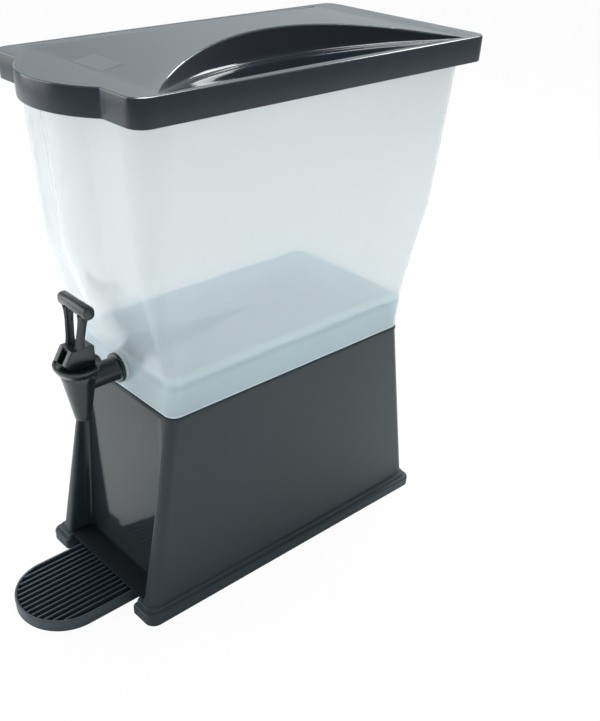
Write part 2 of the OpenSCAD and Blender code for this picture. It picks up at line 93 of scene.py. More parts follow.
def build(name, points, faces, materials, body, nodes=(), picks=None, smooth=32):
    """One finished piece from points in millimetres; picks gives each face its material."""
    mesh = bpy.data.meshes.new(name)
    mesh.from_pydata([in_frame(p) for p in points], [], faces)
    for material in materials:
        mesh.materials.append(material)
    if picks is not None:
        mesh.polygons.foreach_set("material_index", picks)
    merged = bmesh.new()
    merged.from_mesh(mesh)
    bmesh.ops.remove_doubles(merged, verts=merged.verts, dist=1e-6)
    bmesh.ops.recalc_face_normals(merged, faces=merged.faces)
    merged.to_mesh(mesh)
    merged.free()
    mesh.polygons.foreach_set("use_smooth", [True] * len(mesh.polygons))
    mesh.set_sharp_from_angle(angle=math.radians(smooth))
    obj = bpy.data.objects.new(name, mesh)
    bpy.context.collection.objects.link(obj)
    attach(obj, body)
    if nodes:
        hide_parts(*nodes)
    return obj


def add_node(tree, kind, *by_place, **by_name):
    """A new node; each input is a value or the socket that feeds it, and _ in a name is a blank."""
    node = tree.nodes.new(kind)
    inputs = list(enumerate(by_place)) + [(name.replace("_", " "), v) for name, v in by_name.items()]
    for key, value in inputs:
        if isinstance(value, bpy.types.NodeSocket):
            tree.links.new(value, node.inputs[key])
        else:
            node.inputs[key].default_value = value
    return node


def scaled(tree, value, low, high, at_low, at_high):
    """A value that goes from at_low to at_high while the one given goes from low to high."""
    node = add_node(tree, "ShaderNodeMapRange", Value=value, From_Min=low, From_Max=high,
                    To_Min=at_low, To_Max=at_high)
    return node.outputs["Result"]


def plastic(name, colour, rough, grain=0.0, scale=900.0, spread=0.12, sheen=0.5):
    """Moulded plastic: a faint cloud in its colour and gloss, and a fine grain if asked for."""
    material = bpy.data.materials.new(name)
    material.use_nodes = True
    tree = material.node_tree
    surface = tree.nodes["Principled BSDF"]
    surface.inputs["Specular IOR Level"].default_value = sheen
    place = add_node(tree, "ShaderNodeTexCoord").outputs["Object"]
    cloud = add_node(tree, "ShaderNodeTexNoise", Vector=place, Scale=14.0, Detail=4.0).outputs["Fac"]
    tint = add_node(tree, "ShaderNodeValToRGB", Fac=cloud)
    for stop, change in zip(tint.color_ramp.elements, (1 - spread, 1 + spread)):
        stop.color = (*[c * change for c in colour], 1)
    tree.links.new(tint.outputs["Color"], surface.inputs["Base Color"])
    gloss = scaled(tree, cloud, 0.0, 1.0, rough * 0.9, rough * 1.12)
    tree.links.new(gloss, surface.inputs["Roughness"])
    if grain:
        fine = add_node(tree, "ShaderNodeTexNoise", Vector=place, Scale=scale, Detail=2.0)
        bump = add_node(tree, "ShaderNodeBump", Strength=grain, Distance=0.0003,
                        Height=fine.outputs["Fac"])
        tree.links.new(bump.outputs["Normal"], surface.inputs["Normal"])
    return material


stand_satin = plastic("stand_satin", (0.030, 0.041, 0.046), 0.40, grain=0.05, scale=1400, sheen=0.25)
bay_gloss = plastic("bay_gloss", (0.020, 0.026, 0.029), 0.10, spread=0.08, sheen=0.30)

PLINTH_HALF, PLINTH_FRONT, PLINTH_BACK, TABLE_TOP, _ = box_of("base")
PLINTH_CORNER = 12.0
PLINTH_SHOULDER = 9.6
SHOULDER_ROUND = 3.2
TUNNEL_HALF = 69.0
TUNNEL_END = 150.0
TUNNEL_BEND = 3.0
TUNNEL_WIDENS = 0.15  # for each millimetre of inset
CORNER_SHRINKS = 0.3
STEP_TOP = 18.0
RIM_TOP = 239.0
DECK = 233.0
WALL_AT_STEP = (95.2, 10.0, 418.0, 9.5)  # half width, front, back and corner radius
WALL_AT_RIM = (85.0, 53.5, 384.0, 11.5)
WALL_THICK = 2.2
BAY_HALF = 75.5
BAY_NARROWS = 9.5
BAY_NARROWS_FROM = 172.0
BAY_NARROWS_OVER = 64.0
BAY_TOP = 235.5
BAY_LIP = 4.5
BAY_BEND = 7.0
PANEL_FOOT = 39.0
PANEL_LEAN = 0.0771
PANEL_RUNS_OUT = 0.05
LEAST_BEND = 0.02
LEAST_FLAT = 0.1
BEND_SHARE = 0.45  # the most of the bay's depth that one bend takes


def stand_outline(half, front, back, corner, bay, panel, lip, inner):
    """The stand at one height: along the bay's panel, out round the leg's lip and to the back."""
    most = (panel - front) * BEND_SHARE
    lip = max(LEAST_BEND, min(lip, half - corner - bay - LEAST_FLAT, most))
    inner = max(LEAST_BEND, min(inner, most))
    a = [(0.0, panel)] + line((0, panel), (bay - inner, panel), 6)
    a += arc(bay - inner, panel - inner, inner, 90, 0, 5)
    a += line((bay, panel - inner), (bay, front + lip), 4)
    a += arc(bay + lip, front + lip, lip, 180, 270, 6)
    a += line((bay + lip, front), (half - corner, front), 3)
    a += arc(half - corner, front + corner, corner, -90, 0, 8)
    a += line((half, front + corner), (half, back - corner), 4)
    a += arc(half - corner, back - corner, corner, 0, 90, 8)
    a += line((half - corner, back), (0, back), 3) + [(0.0, back)]
    return mirrored(a)


def stand_wall(z, grow):
    """The leaning walls at one height, set out by grow for the rim's bead and the foot's fillet."""
    s = (z - STEP_TOP) / (RIM_TOP - STEP_TOP)
    half, front, back, corner = [a + (b - a) * s for a, b in zip(WALL_AT_STEP, WALL_AT_RIM)]
    front -= grow
    bay = BAY_HALF - BAY_NARROWS * max(0.0, (z - BAY_NARROWS_FROM) / BAY_NARROWS_OVER) ** 2
    panel = PANEL_FOOT + PANEL_LEAN * (z - STEP_TOP) if z < BAY_TOP else front + PANEL_RUNS_OUT
    return at(stand_outline(half + grow, front, back + grow, corner, bay, panel, BAY_LIP, BAY_BEND), z)


# Rows of (height, inset) up the plinth, then rows of (height, outset) up the walls.
plinth_rows = [(TABLE_TOP, 0.7), (0.7, 0.0), (PLINTH_SHOULDER, 0.0)]
for turn in (18, 36, 54, 72, 90):
    plinth_rows.append((PLINTH_SHOULDER + SHOULDER_ROUND * math.sin(math.radians(turn)),
                        SHOULDER_ROUND - SHOULDER_ROUND * math.cos(math.radians(turn))))
plinth_rows += [(12.9, 4.6), (13.2, 5.0), (16.4, 5.2)]
plinth_rows += [(17.3, 5.5), (17.8, 6.2), (STEP_TOP, 7.2), (18.05, 8.8)]
fillet_rows = [(18.1, 1.2), (18.5, 0.5), (20.0, 0.0)]
wall_levels = (40, 70, 100, 130, 155, 172, 184, 194, 203, 211, 218, 224, 229, 233, 235.4)
wall_rows = [(z, 0.0) for z in wall_levels]
rim_rows = [(235.6, 0.0), (235.9, 0.7), (238.0, 0.7), (238.7, 0.3), (RIM_TOP, -0.6), (RIM_TOP, -2.8)]

rings = []
for z, inset in plinth_rows:
    outline = stand_outline(PLINTH_HALF - inset, PLINTH_FRONT + inset, PLINTH_BACK - inset,
                            PLINTH_CORNER - inset * CORNER_SHRINKS,
                            TUNNEL_HALF + inset * TUNNEL_WIDENS, TUNNEL_END, TUNNEL_BEND, TUNNEL_BEND)
    rings.append(at(outline, z))
rings += [stand_wall(z, grow) for z, grow in fillet_rows + wall_rows + rim_rows]
rings.append([(x, y, DECK) for x, y, _ in stand_wall(RIM_TOP, -3.0)])
points, faces = skin(rings, last=True)

# The polish covers the bay's panel, up to the middle of the bend beside it.
PANEL_COLUMNS = 10
columns = len(rings[0])
panel_rows = range(len(plinth_rows), len(rings) - len(rim_rows) - 1)
picks = []
for k in range(len(faces)):
    from_middle = min(k % columns, columns - 1 - k % columns)
    picks.append(1 if k // columns in panel_rows and from_middle < PANEL_COLUMNS else 0)
stand = build("stand", points, faces, [stand_satin, bay_gloss], "stand", ["base"], picks)
thick = stand.modifiers.new("wall", "SOLIDIFY")
thick.thickness = WALL_THICK / MM
thick.offset = -1

# Bay floor: a thin shelf between the legs, level with the plinth's step and of one moulding with the
# stand. It closes the bay from below, over the tray's slot, and its front edge is rounded.
# Painted shade: the shelf's colour is darker than the stand's, for the shade under the panel.
shaded_bay_shelf = plastic("shaded_bay_shelf", (0.010, 0.013, 0.016), 0.5, spread=0.15, sheen=0.12)
SHELF_HALF = 75.3
SHELF_FRONT = 10.1
SHELF_BACK = 40.0
SHELF_UNDER = 16.1
SHELF_TOP = 18.25

shelf = [(SHELF_BACK, SHELF_UNDER), (SHELF_FRONT + 0.5, SHELF_UNDER), (SHELF_FRONT, SHELF_UNDER + 0.4),
         (SHELF_FRONT, SHELF_TOP - 0.65), (SHELF_FRONT + 0.3, SHELF_TOP - 0.2),
         (SHELF_FRONT + 0.9, SHELF_TOP), (SHELF_BACK, SHELF_TOP)]
rings = [[(x, y, z) for y, z in shelf] for x in (-SHELF_HALF, SHELF_HALF)]
points, faces = skin(rings, first=True, last=True)
build("bay_floor", points, faces, [shaded_bay_shelf], "stand")

# Corner tabs: four L-shaped upstands on the deck that hold the reservoir's skirt from inside. They
# are part of the stand's moulding and show as soft shadows through the milky skirt.
TAB_WALL = 3.0
TAB_BEND = 10.0
TAB_SIDE = 81.2
TAB_FRONT = 57.8
TAB_FRONT_END = 41.0
TAB_SIDE_END = 96.0
TAB_FRONT_PLUS_BACK = 437.5
TAB_FOOT = 232.8
TAB_SHOULDER = 259.0
TAB_TOP = 261.5
TAB_TAPER = 0.995


def joined(*parts):
    """Points and faces of several parts as those of one."""
    points, faces = [], []
    for p, f in parts:
        faces += [tuple(i + len(points) for i in face) for face in f]
        points += list(p)
    return points, faces


def tab_face(inset):
    """One face of the front right tab: along the front, round the corner and along the side."""
    bend = arc(TAB_SIDE - TAB_BEND, TAB_FRONT + TAB_BEND, TAB_BEND - inset, -90, 0, 6)
    return [(TAB_FRONT_END, TAB_FRONT + inset)] + bend + [(TAB_SIDE - inset, TAB_SIDE_END)]


parts = []
for at_back in (False, True):
    for side in (1, -1):
        ring = [(side * x, TAB_FRONT_PLUS_BACK - y if at_back else y)
                for x, y in tab_face(0.0) + tab_face(TAB_WALL)[::-1]]
        top = [(x * TAB_TAPER, y) for x, y in ring]
        parts.append(skin([at(ring, TAB_FOOT), at(ring, TAB_SHOULDER), at(top, TAB_TOP)], last=True))
points, faces = joined(*parts)
build("corner_tabs", points, faces, [stand_satin], "stand")

# Drip tray: a shallow moulding in satin plastic with a round front, which catches what the tap drips.
# It slides in over the table and under the bay's panel, between two guides.
tray_satin = plastic("tray_satin", (0.042, 0.055, 0.069), 0.36, spread=0.15)
TRAY_HALF, TRAY_NOSE, TRAY_BACK, TRAY_FOOT, TRAY_TOP = box_of("drip_tray")
TRAY_ROUND_Y = TRAY_NOSE + TRAY_HALF
TRAY_FLOOR = 3.4


def tray_outline(inset):
    r = TRAY_HALF - inset
    back = TRAY_BACK - inset
    a = [(0.0, TRAY_NOSE + inset)] + arc(0, TRAY_ROUND_Y, r, -90, 0, 24)[1:]
    a += line((r, TRAY_ROUND_Y), (r, back), 8) + [(r, back)]
    a += line((r, back), (0, back), 4) + [(0.0, back)]
    return mirrored(a)


# Rows of (inset, height) from the foot, over the rim and down to the floor inside.
tray_rows = [(1.2, TRAY_FOOT), (0.4, 0.7), (0.0, 1.6), (0.0, 13.6), (0.2, 14.5), (0.8, 15.2)]
tray_rows += [(1.4, TRAY_TOP), (2.4, TRAY_TOP), (2.9, 15.1), (3.2, 14.3)]
tray_rows += [(3.6, 5.0), (4.6, 3.6), (6.0, TRAY_FLOOR)]
points, faces = skin([at(tray_outline(inset), z) for inset, z in tray_rows], first=True, last=True)
build("drip_tray", points, faces, [tray_satin], "tray", ["drip_tray"])

# Tray ribs: thirteen bars along the tray, moulded with it, that a glass stands on while drips fall
# between them. Their tops lie just under the rim, and their front ends follow the round nose.
ribs = bpy.data.node_groups.new("tray_ribs", "GeometryNodeTree")
ribs.interface.new_socket("Geometry", in_out="OUTPUT", socket_type="NodeSocketGeometry")
RIB_CLEARANCE = 3.5
RIB_EDGE = 0.6
ribs.interface.new_socket("Rib count", in_out="INPUT", socket_type="NodeSocketInt").default_value = 13
for label, size in (("Spacing", 7.29), ("Thickness", 2.4), ("Height", 12.2), ("Middle height", 9.1),
                    ("Round radius", TRAY_HALF - RIB_CLEARANCE),
                    ("Round centre", TRAY_ROUND_Y + FRONT_EDGE),
                    ("Back", TRAY_BACK - RIB_CLEARANCE + FRONT_EDGE)):
    socket = ribs.interface.new_socket(label, in_out="INPUT", socket_type="NodeSocketFloat")
    socket.default_value = size / MM
ribs.interface.new_socket("Material", in_out="INPUT", socket_type="NodeSocketMaterial")
given = ribs.nodes.new("NodeGroupInput").outputs


def sum_of(tree, operation, *values):
    """The result of a sum on one or two values or sockets."""
    node = add_node(tree, "ShaderNodeMath", *values)
    node.operation = operation
    return node.outputs[0]


# One point for each rib, in a row across the tray.
half_row = sum_of(ribs, "MULTIPLY", sum_of(ribs, "SUBTRACT", given["Rib count"], 1), -0.5)
first_x = sum_of(ribs, "MULTIPLY", given["Spacing"], half_row)
first_rib = add_node(ribs, "ShaderNodeCombineXYZ", X=first_x, Z=given["Middle height"])
step = add_node(ribs, "ShaderNodeCombineXYZ", X=given["Spacing"])
row = add_node(ribs, "GeometryNodeMeshLine", Count=given["Rib count"],
               Start_Location=first_rib.outputs[0], Offset=step.outputs[0])
row.mode = "OFFSET"

# Each rib's length and middle, from the round nose to the back.
place = add_node(ribs, "GeometryNodeInputPosition").outputs[0]
aside = sum_of(ribs, "ABSOLUTE", add_node(ribs, "ShaderNodeSeparateXYZ", place).outputs["X"])
reach_square = sum_of(ribs, "SUBTRACT", sum_of(ribs, "POWER", given["Round radius"], 2.0),
                      sum_of(ribs, "POWER", aside, 2.0))
nose = sum_of(ribs, "SUBTRACT", given["Round centre"], sum_of(ribs, "SQRT", reach_square))
length = sum_of(ribs, "SUBTRACT", given["Back"], nose)
middle = sum_of(ribs, "MULTIPLY", sum_of(ribs, "ADD", given["Back"], nose), 0.5)

# The length is kept from before the points move to the ribs' middles, then it stretches a unit bar.
measured = ribs.nodes.new("GeometryNodeCaptureAttribute")
measured.capture_items.new("FLOAT", "length")
ribs.links.new(row.outputs["Mesh"], measured.inputs["Geometry"])
ribs.links.new(length, measured.inputs[1])
shift = add_node(ribs, "ShaderNodeCombineXYZ", Y=middle)
placed = add_node(ribs, "GeometryNodeSetPosition", Geometry=measured.outputs["Geometry"],
                  Offset=shift.outputs[0])
bar_size = add_node(ribs, "ShaderNodeCombineXYZ", X=given["Thickness"], Y=1.0, Z=given["Height"])
bar = add_node(ribs, "GeometryNodeMeshCube", Size=bar_size.outputs[0])
stretch = add_node(ribs, "ShaderNodeCombineXYZ", X=1.0, Y=measured.outputs[1], Z=1.0)
copies = add_node(ribs, "GeometryNodeInstanceOnPoints", Points=placed.outputs["Geometry"],
                  Instance=bar.outputs["Mesh"], Scale=stretch.outputs[0])
real = add_node(ribs, "GeometryNodeRealizeInstances", Geometry=copies.outputs["Instances"])
painted = add_node(ribs, "GeometryNodeSetMaterial", Geometry=real.outputs["Geometry"],
                   Material=given["Material"])
add_node(ribs, "NodeGroupOutput", Geometry=painted.outputs["Geometry"])

holder = bpy.data.objects.new("tray_rib_holder", bpy.data.meshes.new("tray_rib_holder"))
bpy.context.collection.objects.link(holder)
fitted = holder.modifiers.new("ribs", "NODES")
fitted.node_group = ribs
for item in ribs.interface.items_tree:
    if item.in_out == "INPUT" and item.name == "Material":
        fitted[item.identifier] = tray_satin
bpy.context.view_layer.update()
rib_mesh = bpy.data.meshes.new_from_object(holder.evaluated_get(bpy.context.evaluated_depsgraph_get()))
bpy.data.objects.remove(holder)
tray_ribs = bpy.data.objects.new("tray_ribs", rib_mesh)
bpy.context.collection.objects.link(tray_ribs)
soft = tray_ribs.modifiers.new("edges", "BEVEL")
soft.width = RIB_EDGE / MM
soft.segments = 2
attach(tray_ribs, "tray")

# Reservoir: a thin milky moulding that stands on the stand's rim, held by the tabs inside its skirt.
# The front has a bowed lobe between two grooves, front and back fold in at a crease, and the front
# corners get rounder towards the mouth. Below the raised floor the haze is denser.
MOUTH = box_of("reservoir")[4]
SKIRT_HALF = 85.0
SKIRT_FRONT = 54.0
SKIRT_BACK = 384.0
SKIRT_CORNER = 12.0
SIDE_LEAN = 0.0667
CREASE = 386.0
FRONT_SWELLS_FROM = 282.0
FRONT_SWELL = 24.0
FRONT_FLARE = 7.0
BACK_SWELLS_FROM = 291.0
BACK_SWELL = 21.0
BACK_FLARE = 1.0
LOBE_BOW = 7.0
LOBE_BOW_FLARE = 3.0
GROOVE_X = 36.0
GROOVE_SWEEP = 6.0
CORNER_SWELL = 8.0
CORNER_FLARE = 20.0
RESERVOIR_WALL = 2.6
HAZE_FROM, HAZE_TO = 0.268, 0.290  # metres: where the haze thins out, over the floor
HEM_FROM, HEM_TO = 0.2410, 0.2425  # metres: the thick lower edge
HEM_SEEN = 0.1
GLOW_SHARE = 0.45
# Painted shade: a bluish tint multiplied into the wall below the floor, over the dark deck.
BELOW_FLOOR_SHADE_TINT = (0.92, 0.99, 1.0, 1)
CLEAR_TINT = (1.0, 0.985, 0.97, 1)


def milky_plastic(name, shades, seen_below, seen_above):
    """Frosted plastic: haze and glow, partly seen through, with gloss on its outer side alone."""
    material = bpy.data.materials.new(name)
    material.use_nodes = True
    tree = material.node_tree
    tree.nodes.clear()
    place = add_node(tree, "ShaderNodeTexCoord").outputs["Object"]
    height = add_node(tree, "ShaderNodeSeparateXYZ", place).outputs["Z"]
    cloud = add_node(tree, "ShaderNodeTexNoise", Vector=place, Scale=9.0, Detail=3.0)
    tint = add_node(tree, "ShaderNodeValToRGB", Fac=cloud.outputs["Fac"])
    for stop, shade in zip(tint.color_ramp.elements, shades):
        stop.color = (*shade, 1)
    # Painted shade: darker and bluer below the floor, where the dark deck lies behind the wall.
    shade_tinted = add_node(tree, "ShaderNodeMix", scaled(tree, height, HAZE_FROM, HAZE_TO, 1.0, 0.0))
    shade_tinted.data_type = "RGBA"
    shade_tinted.blend_type = "MULTIPLY"
    tree.links.new(tint.outputs["Color"], shade_tinted.inputs[6])
    shade_tinted.inputs[7].default_value = BELOW_FLOOR_SHADE_TINT
    haze = add_node(tree, "ShaderNodeBsdfDiffuse", Color=shade_tinted.outputs[2])
    glow = add_node(tree, "ShaderNodeBsdfTranslucent", Color=shade_tinted.outputs[2])
    body = add_node(tree, "ShaderNodeMixShader", GLOW_SHARE, haze.outputs[0], glow.outputs[0])
    clear = add_node(tree, "ShaderNodeBsdfTransparent", Color=CLEAR_TINT)
    seen = sum_of(tree, "MULTIPLY", scaled(tree, height, HAZE_FROM, HAZE_TO, seen_below, seen_above),
                  scaled(tree, height, HEM_FROM, HEM_TO, HEM_SEEN, 1.0))
    veil = add_node(tree, "ShaderNodeMixShader", seen, body.outputs[0], clear.outputs[0])
    inside = add_node(tree, "ShaderNodeNewGeometry").outputs["Backfacing"]
    film = sum_of(tree, "MULTIPLY", add_node(tree, "ShaderNodeFresnel", IOR=1.42).outputs[0],
                  sum_of(tree, "SUBTRACT", 1.0, inside))
    shine = add_node(tree, "ShaderNodeBsdfGlossy", Roughness=0.22)
    coated = add_node(tree, "ShaderNodeMixShader", film, veil.outputs[0], shine.outputs[0])
    add_node(tree, "ShaderNodeOutputMaterial", Surface=coated.outputs[0])
    return material


def ramp(z, low, high):
    return max(0.0, min(1.0, (z - low) / (high - low)))


def eased(z, low, high, soft_by):
    """A straight ramp whose two corners are rounded off over soft_by."""
    return sum(ramp(z + d * soft_by, low, high) for d in (-1, -0.5, 0, 0.5, 1)) / 5


def reservoir_ring(z, inset):
    """The reservoir's outline at one height, set in by inset."""
    flare = ramp(z, CREASE, MOUTH)
    swell = eased(z, FRONT_SWELLS_FROM, CREASE, 8)
    half = SKIRT_HALF + SIDE_LEAN * (z - RIM_TOP) - inset
    front = SKIRT_FRONT - FRONT_SWELL * eased(z, FRONT_SWELLS_FROM, CREASE, 6) - FRONT_FLARE * flare + inset
    back = SKIRT_BACK + BACK_SWELL * eased(z, BACK_SWELLS_FROM, CREASE, 6) + BACK_FLARE * flare - inset
    bow = LOBE_BOW * swell + LOBE_BOW_FLARE * flare
    sweep = GROOVE_SWEEP * swell
    corner = SKIRT_CORNER - inset
    front_corner = SKIRT_CORNER + CORNER_SWELL * swell + CORNER_FLARE * flare - inset
    a = []
    for k in range(13):
        x = GROOVE_X * k / 12
        a.append((x, front - sweep - bow * (1 - (x / GROOVE_X) ** 2)))
    for k in range(1, 7):
        x = GROOVE_X + (half - front_corner - GROOVE_X) * k / 6
        a.append((x, front - sweep * (1 - k / 6) ** 1.3))
    a += arc(half - front_corner, front + front_corner, front_corner, -90, 0, 12)[1:]
    a += line((half, front + front_corner), (half, back - corner), 6)
    a += arc(half - corner, back - corner, corner, 0, 90, 8)
    a += line((half - corner, back), (0, back), 4) + [(0.0, back)]
    return at(mirrored(a), z)


milky = milky_plastic("milky_wall", ((0.84, 0.91, 0.945), (0.87, 0.94, 0.97)), 0.28, 0.645)

# Rows of (height, inset) up the outside, over the mouth's rounded lip and down the inside.
levels = [241.2, 242.6, 246, 258, 270, 276, 282, 288, 294, 300]
levels += [330, 360, 374, 380, 386, 392, 400, 430, 470, 510]
outside = [(239.35, 0.5), (240.0, 0.0)] + [(z, 0.0) for z in levels]
lip = [(537.6, 0.0), (538.4, 0.5), (538.6, 1.5), (538.4, 2.1), (537.6, RESERVOIR_WALL)]
inside = [(z, RESERVOIR_WALL) for z in levels[::-1]]
hem = [(240.0, RESERVOIR_WALL), (239.35, 2.1), (239.35, 0.5)]
points, faces = skin([reservoir_ring(z, inset) for z, inset in outside + lip + inside + hem])
build("reservoir_walls", points, faces, [milky], "vessel", ["reservoir"], smooth=24)

# Reservoir floor: of one moulding with the walls, raised above the skirt's lower edge, with a round
# drain trough that widens towards the tap. Two ribs tie it to the side walls half way along.
milky_floor = milky_plastic("milky_floor", ((0.76, 0.91, 0.98), (0.80, 0.94, 1.0)), 0.08, 0.14)
FLOOR_TOP = 278.0
FLOOR_UNDER = 275.4
FLOOR_INSET = 2.65
TROUGH_FRONT = 57.2
TROUGH_END = 224.0
TROUGH_HALF = 33.0
TROUGH_TIP = 0.6
TROUGH_WALL = 2.4
TROUGH_RIM = 277.9
TROUGH_ROWS = 13
TROUGH_COLUMNS = 17
BEHIND_TROUGH = 200.0
TIE_FRONT, TIE_BACK = 222.0, 224.4
TIE_CORNERS = ((5.0, 275.6), (84.6, 275.6), (82.6, 243.0))  # x and z


def sheet(rows, columns, first=0):
    """Faces of a grid of points, row by row, whose numbers begin at first."""
    return [(first + j * columns + k, first + j * columns + k + 1,
             first + (j + 1) * columns + k + 1, first + (j + 1) * columns + k)
            for j in range(rows - 1) for k in range(columns - 1)]


def trough(j):
    """The trough's half width in one of its rows, and the row's place."""
    s = j / (TROUGH_ROWS - 1)
    return TROUGH_HALF * (1 - s) + TROUGH_TIP, TROUGH_FRONT + (TROUGH_END - TROUGH_FRONT) * s


trough_points = []
for wall in (0.0, TROUGH_WALL):
    for j in range(TROUGH_ROWS):
        r, y = trough(j)
        for k in range(TROUGH_COLUMNS):
            a = math.pi * k / (TROUGH_COLUMNS - 1)
            trough_points.append((-(r + wall) * math.cos(a), y, TROUGH_RIM - (r + wall) * math.sin(a)))
trough_faces = sheet(TROUGH_ROWS, TROUGH_COLUMNS)
trough_faces += [face[::-1] for face in sheet(TROUGH_ROWS, TROUGH_COLUMNS, TROUGH_ROWS * TROUGH_COLUMNS)]

# Each half of the floor runs round the trough's slit and along the walls.
ring = [(x, y) for x, y, _ in reservoir_ring(FLOOR_TOP, FLOOR_INSET)]
half = [trough(j) for j in range(TROUGH_ROWS)][::-1]
half += [(x, y) for x, y in ring[: len(ring) // 2 + 1] if x > TROUGH_HALF + 1 or y > BEHIND_TROUGH]
parts = [(trough_points, trough_faces)]
for side in (1, -1):
    edges = [[(side * x, y, z) for x, y in half] for z in (FLOOR_TOP, FLOOR_UNDER)]
    m = len(half)
    caps = [tuple(range(m)), tuple(m + i for i in range(m - 1, -1, -1))]
    rim = [(i, (i + 1) % m, m + (i + 1) % m, m + i) for i in range(m)]
    parts.append((edges[0] + edges[1], caps + rim))
for side in (1, -1):
    tie = [(side * x, y, z) for y in (TIE_FRONT, TIE_BACK) for x, z in TIE_CORNERS]
    parts.append((tie, [(0, 1, 2), (5, 4, 3), (0, 3, 4, 1), (1, 4, 5, 2), (2, 5, 3, 0)]))
points, faces = joined(*parts)
build("reservoir_floor", points, faces, [milky_floor], "vessel")

# Tap body: a black plastic funnel with a short spout, its shank bolted through the reservoir's front
# wall. A milky washer sits behind the flange, and a nut holds it from inside.
tap_black = plastic("tap_black", (0.009, 0.014, 0.016), 0.27, spread=0.15, sheen=0.6)
TAP = (0.0, 5.0, 0.0)
SHANK = (0.0, 0.0, 264.0)
TURN_STEPS = 72


def lathe(profile, place, axis):
    """Points and faces of a turned piece: profile is (radius, distance along the axis)."""
    rings = []
    for r, d in profile:
        ring = []
        for k in range(TURN_STEPS):
            c = r * math.cos(2 * math.pi * k / TURN_STEPS)
            s = r * math.sin(2 * math.pi * k / TURN_STEPS)
            turned = {"z": (c, s, d), "y": (c, d, s)}[axis]
            ring.append(tuple(p + t for p, t in zip(place, turned)))
        rings.append(ring)
    return skin(rings)


spout_bore = [(6.0, 253.0), (6.0, 223.0)]
spout_end = [(6.4, 222.2), (7.6, 222.0), (8.3, 222.4), (8.7, 223.6)]
funnel = [(10.2, 232), (12.4, 244), (14.9, 257), (17.2, 269.0)]
collar = [(17.9, 271.6), (18.0, 273.6), (18.0, 278.1), (17.6, 278.5)]
chamber = [(14.0, 278.5), (14.0, 253.0), (6.0, 253.0)]
spout = lathe(spout_bore + spout_end + funnel + collar + chamber, TAP, "z")
tube = [(6.5, 6.0), (12.0, 6.0), (12.0, 46.0), (12.2, 46.6), (12.8, 47.0)]
flange = [(15.0, 47.0), (15.4, 47.2), (15.5, 47.6), (15.5, 50.0), (15.1, 50.5)]
thread = [(10.0, 50.5), (10.0, 70.0), (9.4, 70.0)]
shank_bore = [(6.5, 70.0), (6.5, 6.0)]
shank = lathe(tube + flange + thread + shank_bore, SHANK, "y")
points, faces = joined(spout, shank)
build("tap_body", points, faces, [tap_black], "vessel", ["tap_body"])

# Bonnet: a black plastic ring with a dished top that caps the funnel. It fits over the collar and
# guides the stem in its bore, and the handle's foot rolls in its dish.
cap_edge = [(18.05, 276.5), (20.2, 276.5), (20.8, 276.9)]
cone = [(23.5, 281.5), (23.9, 282.6), (24.0, 283.6), (24.0, 284.7)]
brim = [(23.8, 285.2), (23.3, 285.5), (22.3, 285.5), (21.8, 285.2), (21.5, 284.6)]
dish = [(21.3, 283.2), (20.8, 282.7), (20.0, 282.5), (4.06, 282.5)]
seat = [(4.06, 278.5), (18.05, 278.5), (18.05, 276.5)]
points, faces = lathe(cap_edge + cone + brim + dish + seat, TAP, "z")
build("tap_bonnet", points, faces, [tap_black], "vessel", ["tap_bonnet"])

# Handle: a black moulded cross bar on two flat legs with a finger window, on a forked foot. The foot
# is a cam that rolls on the bonnet's dish and pulls the stem up; a steel pin hinges it on the stem.
PIN_Y = TAP[1]
PIN_Z = 294.8
BAR_Y = 11.0
BAR_RISE = 49.0
BAR_HALF_Y, BAR_HALF_Z = 6.1, 6.5
BAR_STEPS = 32
SQUARENESS = 0.8
LEG_FOOT = 9.25
LEG_X = 8.0
LEG_SPREAD = 6.0
LEG_ROUNDING = 0.18
CAM_REACH = 12.0
CAM_RISE = 6.0  # for each radian of tilt
TILT = 60.0
CAM_STEPS = 16
FORK_INSIDE = 4.4
FORK_OUTSIDE = 11.02
BRIDGE_UNDER, BRIDGE_TOP = 5.0, 9.2


def squared(c):
    """A sine or cosine pulled a little towards a square's."""
    return math.copysign(abs(c) ** SQUARENESS, c)


turns = [2 * math.pi * k / BAR_STEPS for k in range(BAR_STEPS)]
section = [(BAR_HALF_Y * squared(math.cos(t)), BAR_HALF_Z * squared(math.sin(t))) for t in turns]
bar_rows = ((-23.5, 0.86), (-23.2, 0.95), (-22.4, 1.0), (0.0, 0.97), (22.4, 1.0), (23.2, 0.95), (23.5, 0.86))
rings = [[(x, BAR_Y + y * f, PIN_Z + BAR_RISE + z * f) for y, z in section] for x, f in bar_rows]
parts = [skin(rings, first=True, last=True)]

# Rows of (height over the pin, half width, half depth) up a leg, and its eight-sided section.
leg_rows = ((8.0, 3.4, 5.4), (12.0, 3.1, 4.8), (17.0, 2.9, 4.4), (32.0, 2.9, 4.4), (39.0, 3.2, 4.9),
            (44.5, 4.4, 5.8))
leg_section = ((-1, -1), (0, -1.05), (1, -1), (1.05, 0), (1, 1), (0, 1.05), (-1, 1), (-1.05, 0))
for side in (-1, 1):
    rings = []
    for z, w, d in leg_rows:
        q = (z - LEG_FOOT) / (BAR_RISE - LEG_FOOT)
        x = side * (LEG_X + LEG_SPREAD * q)
        y = PIN_Y + (BAR_Y - PIN_Y) * q
        ring = []
        for e, g in leg_section:
            pull = 1 - LEG_ROUNDING * (e * g) ** 2
            ring.append((x + w * e * pull, y + d * g * pull, PIN_Z + z))
        rings.append(ring)
    parts.append(skin(rings, first=True, last=True))

